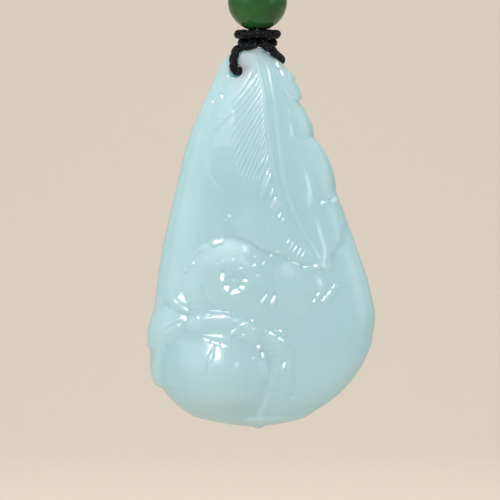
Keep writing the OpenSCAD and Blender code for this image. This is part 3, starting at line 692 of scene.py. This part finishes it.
def carve_line(surface, x, y, height, left_hand, right_hand, points, crisp=False):
    """Adds one ridge or groove to the surface, pointed at both ends like a wheel's cut. A crisp one
    has flat flanks that meet in an edge."""
    points = np.array(points, float)
    reach = LINE_REACH * max(left_hand, right_hand)
    rows = (y[:, 0] > points[:, 1].min() - reach) & (y[:, 0] < points[:, 1].max() + reach)
    px, py = x[rows], y[rows]
    steps = np.linalg.norm(np.diff(points, axis=0), axis=1)
    runs = np.concatenate([[0], np.cumsum(steps)])
    best = np.full(px.shape, np.inf)
    best_run = np.zeros(px.shape)
    for a, b, step, run in zip(points, points[1:], steps, runs):
        d = (b - a) / step
        along = np.clip((px - a[0]) * d[0] + (py - a[1]) * d[1], 0, step)
        gap_x, gap_y = px - a[0] - along * d[0], py - a[1] - along * d[1]
        hand = d[0] * gap_y - d[1] * gap_x
        gap = np.hypot(gap_x, gap_y) / np.where(hand > 0, right_hand, left_hand)
        nearer = gap < best
        best = np.where(nearer, gap, best)
        best_run = np.where(nearer, run + along, best_run)
    share = best_run / runs[-1]
    taper = np.clip(POINT_RISE * share * (1 - share), 0, 1) ** POINT_CURVE
    surface[rows] += height * taper * (np.clip(1 - best, 0, 1) if crisp else np.exp(-best ** 2))


def cut_facets(height, ground, x, y, half_width, points):
    """Cuts flat facets one after another along a line, each turned up and a little to the left."""
    points = np.array(points, float)
    run = np.concatenate([[0], np.cumsum(np.linalg.norm(np.diff(points, axis=0), axis=1))])
    at = np.linspace(0, run[-1], max(1, round(run[-1] / FACET_LENGTH)) + 1)
    ends = np.stack([np.interp(at, run, points[:, 0]), np.interp(at, run, points[:, 1])], axis=1)
    for a, b in zip(ends, ends[1:]):
        middle, step = (a + b) / 2, np.linalg.norm(b - a)
        row = np.abs(y[:, 0] - middle[1]).argmin()
        level = np.interp(middle[0], x[row], ground[row])
        rows = np.abs(y[:, 0] - middle[1]) < step / 2 + 2 * half_width
        px, py = x[rows], y[rows]
        way = (b - a) / step
        along = (px - middle[0]) * way[0] + (py - middle[1]) * way[1]
        aside = (px - middle[0]) * way[1] - (py - middle[1]) * way[0]
        # Flat over most of the facet, and blended into the ground at its sides and ends.
        share = np.exp(-(aside / half_width) ** 4 - (along / (FACET_SHARE * step)) ** 8)
        flat = level + PART / MM * (LEAN_LEFT * (px - middle[0])
                                    + (LEAN_UP + LEAN_CHANGE * (py - PICTURE / 2)) * (py - middle[1]))
        height[rows] += share * (flat - height[rows])


def veins(x, y):
    """The fine parallel veins of the leaf's left half."""
    rib = np.array(MIDRIB, float)
    away = np.interp(y[:, 0], rib[:, 1], rib[:, 0])[:, None] - x
    start = VEIN_FAN_AT + (y - VEIN_FAN_AT - VEIN_FALL * away) / (1 + VEIN_FAN * away)
    phase = start / VEIN_SPACING
    reach = np.interp(y[:, 0], VEIN_REACH[:, 0], VEIN_REACH[:, 1])[:, None]
    strength = ease((away - VEIN_GAP) / VEIN_RISE) * ease((reach - away) / VEIN_END)
    strength = strength * ease((start - FIRST_VEIN) / FIRST_FADE)
    strength = strength * ease((LAST_VEIN - y) / LAST_FADE)
    return VEIN_DEPTH * strength * (np.abs(np.sin(math.pi * phase)) - VEIN_SINK)


def carving(x, y):
    """Height of the carving above the pebble's face, in mm, at places in parts."""
    left = np.interp(y[:, 0], LEAF[:, 0], LEAF[:, 1])[:, None]
    right = np.interp(y[:, 0], LEAF[:, 0], LEAF[:, 2])[:, None]
    soft = np.interp(y[:, 0], LEAF[:, 0], LEAF[:, 3])[:, None]
    inside = (y > LEAF[0, 0]) & (y < LEAF[-1, 0])
    leaf = inside * ease((x - left) / soft) * ease((right - x) / LEAF_FALL)
    leaf = leaf * ease((y - TIP_AT) / LEAF_START)
    puffs = np.maximum.reduce([form_rise(x, y, lobe) for lobe in LEAF_LOBES])
    forms = [leaf * (LEAF_RISE + puffs)] + [form_rise(x, y, form) for form in FORMS]
    surface = sum(np.clip(f, 0, None) ** FORM_BLEND for f in forms) ** (1 / FORM_BLEND)
    surface = surface + form_rise(x, y, CALYX) + veins(x, y)
    for height, left_hand, right_hand, points in LINES:
        carve_line(surface, x, y, height, left_hand, right_hand, points)
    for slope, half_width, points in CRISP_LINES:
        height = slope * half_width * PART / MM
        carve_line(surface, x, y, height, half_width, half_width, points, crisp=True)
    for x_from, y_from, x_to, y_to in CUTS:
        carve_line(surface, x, y, CUT_HEIGHT, CUT_WIDTH, CUT_WIDTH, [(x_from, y_from), (x_to, y_to)])
    for across, down, radius, height in UNEVEN:
        surface += height * np.exp(-((x - across) ** 2 + (y - down) ** 2) / radius ** 2)
    across, down, floor, brim, depth = PIT
    return surface - depth * np.clip((brim - np.hypot(x - across, y - down)) / (brim - floor), 0, 1)


def column_places(left, right, y):
    """Columns across the front at each row, closer together over the fine carving and at the edges."""
    middle = np.interp(y, FINE_CARVING[:, 0], FINE_CARVING[:, 1])
    spread = np.interp(y, FINE_CARVING[:, 0], FINE_CARVING[:, 2])
    t = np.linspace(-1, 1, SPACING_STEPS)
    x = (left + right) / 2 + (right - left) / 2 * t
    density = 1 + FINE_DENSITY * np.exp(-((x - middle) / spread) ** 4) + EDGE_DENSITY * np.abs(t) ** 12
    share = np.concatenate([[0], np.cumsum((density[1:] + density[:-1]) / 2)])
    return np.interp(np.linspace(0, 1, FRONT_COLUMNS + 1), share / share[-1], t)


def swelled(t, middle, half, swells):
    """Places across each row, with the leaves' lobes swelling only its rim."""
    swelling = np.where(t < 0, -swells[0][:, None], swells[1][:, None])
    return middle + half * t + swelling * np.abs(t) ** SWELL_AT_RIM


def carved_pebble():
    """The stone's closed mesh, row by row from its tip to the end of its tail."""
    first, last = SECTIONS[0, 0], SECTIONS[-1, 0]
    down = np.concatenate([
        first - (first - TIP_AT) * np.sin(np.linspace(math.pi / 2, 0, TIP_ROWS + 2)[1:-1]),
        np.linspace(first, last, BODY_ROWS),
        last + (TAIL_END - last) * np.sin(np.linspace(0, math.pi / 2, FOOT_ROWS + 2)[1:-1]),
    ])
    left, right, front, back = sections(down)
    t = np.stack([column_places(a, b, y) for a, b, y in zip(left, right, down)])
    middle, half = ((left + right) / 2)[:, None], ((right - left) / 2)[:, None]
    swells = np.stack([swell(down, -1), swell(down, 1)])
    x, y = swelled(t, middle, half, swells), np.repeat(down[:, None], FRONT_COLUMNS + 1, axis=1)
    bulge = rounding(np.abs(t), SECTION_SQUARE)
    rim = ease((1 - np.abs(t)) * half / RIM)
    rim = rim * ease((y - TIP_AT) / TIP_RIM) * ease((TAIL_END - y) / FOOT_RIM)
    height = front[:, None] * bulge + rim * carving(x, y)
    ground = height.copy()
    for half_width, points in FACETS:
        cut_facets(height, ground, x, y, half_width, points)
    for across, at, radius in MARKS:
        cut_facets(height, ground, x, y, radius, [(across - radius, at), (across + radius, at)])
    t_back = -np.sin(np.linspace(-math.pi / 2, math.pi / 2, BACK_COLUMNS + 1)[1:-1])[None]
    x_back = swelled(t_back, middle, half, swells)
    depth_back = back[:, None] * rounding(np.abs(t_back), SECTION_SQUARE)
    rows = np.stack([
        np.concatenate([x, x_back], axis=1),
        np.concatenate([-height, depth_back], axis=1),
        np.concatenate([y, np.repeat(down[:, None], BACK_COLUMNS - 1, axis=1)], axis=1),
    ], axis=-1)
    tip_pole, tail_pole = [[TOP_POLE, 0, TIP_AT]], [[TAIL_AT, -TAIL_POINT, TAIL_END]]
    points = np.concatenate([tip_pole, rows.reshape(-1, 3), tail_pole])
    points = np.stack([(points[:, 0] - CORD_AT) * PART, points[:, 1] * MM,
                       tip_z - (points[:, 2] - TIP_AT) * PART], axis=1)
    count, n = rows.shape[:2]
    a = 1 + np.arange(count - 1)[:, None] * n + np.arange(n)[None]
    b = 1 + np.arange(count - 1)[:, None] * n + (np.arange(n)[None] + 1) % n
    faces = np.stack([a, a + n, b + n, b], axis=-1).reshape(-1, 4).tolist()
    ring, end = np.arange(n), len(points) - 1
    faces += np.stack([np.zeros(n, int), 1 + ring, 1 + (ring + 1) % n], axis=1).tolist()
    faces += np.stack([np.full(n, end), end - n + (ring + 1) % n, end - n + ring], axis=1).tolist()
    mesh = bpy.data.meshes.new("carved_jade")
    mesh.from_pydata(points.tolist(), [], faces)
    mesh.update()
    return mesh


def drill(mesh, middle, turn, width, length):
    """The mesh with a level hole through its middle, turned about the upright."""
    angle = np.arange(HOLE_SIDES) * 2 * math.pi / HOLE_SIDES
    along = np.array([math.cos(turn), math.sin(turn), 0])
    across = np.array([-math.sin(turn), math.cos(turn), 0])
    ring = width / 2 * (np.cos(angle)[:, None] * across + np.sin(angle)[:, None] * np.array([0, 0, 1]))
    points = np.concatenate([middle - length / 2 * along + ring, middle + length / 2 * along + ring])
    faces = [(j, (j + 1) % HOLE_SIDES, HOLE_SIDES + (j + 1) % HOLE_SIDES, HOLE_SIDES + j)
             for j in range(HOLE_SIDES)]
    faces += [tuple(reversed(range(HOLE_SIDES))), tuple(range(HOLE_SIDES, 2 * HOLE_SIDES))]
    bit_mesh = bpy.data.meshes.new("drill")
    bit_mesh.from_pydata(points.tolist(), [], faces)
    bit_mesh.update()
    bit = bpy.data.objects.new("drill", bit_mesh)
    blank = bpy.data.objects.new("blank", mesh)
    bpy.context.scene.collection.objects.link(bit)
    bpy.context.scene.collection.objects.link(blank)
    cut = blank.modifiers.new("cord_hole", "BOOLEAN")
    cut.operation = "DIFFERENCE"
    cut.object = bit
    cut.solver = "EXACT"
    bpy.context.view_layer.update()
    graph = bpy.context.evaluated_depsgraph_get()
    drilled = bpy.data.meshes.new_from_object(blank.evaluated_get(graph))
    bpy.data.objects.remove(blank)
    bpy.data.objects.remove(bit)
    return drilled


hole_middle = np.array([*HOLE_AT, tip_z - HOLE_DROP])
stone_mesh = drill(carved_pebble(), hole_middle, HOLE_TURN, HOLE_WIDTH, stone_high[0] - stone_low[0])
pale_nephrite = polished_jade(
    "pale_nephrite", clouds, clouds_a_metre=45,
    dark=(0.49, 0.71, 0.76), light=(0.56, 0.76, 0.79), shine=0.5, polish=(0.10, 0.16),
    grain=0.002 * MM, glow=(0.75, 1.0, 1.0), glow_depth=5 * MM)
add_piece("carved_jade", stone_mesh, pale_nephrite, "carved_stone")


# Floor and backdrop: one plain pale sheet that lies under the hanging pendant and curves up far
# behind it. It is painted matt.
FLOOR_Z = -0.125
SWEEP_BACK = 1.3
SWEEP_CURVE = 0.7
SWEEP_REACH = 3
SWEEP_STEPS = 24

profile = [(-SWEEP_REACH, FLOOR_Z), (SWEEP_BACK - SWEEP_CURVE, FLOOR_Z)]
profile += [(SWEEP_BACK - SWEEP_CURVE * (1 - math.sin(a)), FLOOR_Z + SWEEP_CURVE * (1 - math.cos(a)))
            for a in np.linspace(0, math.pi / 2, SWEEP_STEPS)[1:]]
profile += [(SWEEP_BACK, SWEEP_REACH)]
sweep_mesh = bpy.data.meshes.new("pale_sweep")
sweep_mesh.from_pydata(
    [(x, y, z) for y, z in profile for x in (-SWEEP_REACH, SWEEP_REACH)], [],
    [(2 * i, 2 * i + 1, 2 * i + 3, 2 * i + 2) for i in range(len(profile) - 1)])
sweep_mesh.polygons.foreach_set("use_smooth", [True] * len(sweep_mesh.polygons))
sweep = bpy.data.objects.new("pale_sweep", sweep_mesh)
bpy.context.scene.collection.objects.link(sweep)
sweep_paint = bpy.data.materials.new("pale_paint")
sweep_paint.use_nodes = True
sweep_shader = sweep_paint.node_tree.nodes["Principled BSDF"]
sweep_shader.inputs["Base Color"].default_value = (0.60, 0.53, 0.45, 1)
sweep_shader.inputs["Roughness"].default_value = 0.9
sweep_mesh.materials.append(sweep_paint)


# Studio light: a soft box in front and above draws the small bright lines on the carving, and a wide
# dim one round it the broad shine. A narrow box and two windows light the sides, another box lights
# the backdrop, and pale light comes from all round.
STONE_MIDDLE = (0, 0, -0.063)
LAMP_WHITE = (1.0, 0.99, 0.97)
WARM_WHITE = (1.0, 0.98, 0.95)
DAYLIGHT = (0.95, 0.98, 1.0)


def soft_box(name, place, aim, size, power, tint):
    """A lamp as wide and high as its size in metres, turned to its aim, with its power in watts."""
    light = bpy.data.lights.new(name, "AREA")
    light.shape = "RECTANGLE"
    light.size, light.size_y = size
    light.energy = power
    light.color = tint
    box = bpy.data.objects.new(name, light)
    bpy.context.scene.collection.objects.link(box)
    box.location = place
    way = np.array(aim, float) - np.array(place, float)
    box.rotation_euler = (math.atan2(math.hypot(way[0], way[1]), -way[2]), 0,
                          math.atan2(way[1], way[0]) - math.pi / 2)


soft_box("key_box", (-0.11, -0.52, 0.205), STONE_MIDDLE, (0.17, 0.11), 0.85, LAMP_WHITE)
soft_box("key_glow", (-0.10, -0.54, 0.195), STONE_MIDDLE, (0.36, 0.26), 0.5, LAMP_WHITE)
soft_box("right_box", (0.25, -0.52, 0.03), STONE_MIDDLE, (0.04, 0.10), 0.06, LAMP_WHITE)
soft_box("left_window", (-0.46, -0.46, 0.0), STONE_MIDDLE, (0.40, 0.50), 0.55, DAYLIGHT)
soft_box("right_window", (0.60, -0.35, 0.05), STONE_MIDDLE, (0.30, 0.40), 0.3, WARM_WHITE)
soft_box("backdrop_box", (0, 0.15, 0.7), (0, 1.2, 0), (0.6, 0.4), 9, WARM_WHITE)
world = bpy.data.worlds.new("pale_room")
world.use_nodes = True
room_light = world.node_tree.nodes["Background"]
room_light.inputs["Color"].default_value = (0.88, 0.94, 1.0, 1)
room_light.inputs["Strength"].default_value = 0.46
bpy.context.scene.world = world
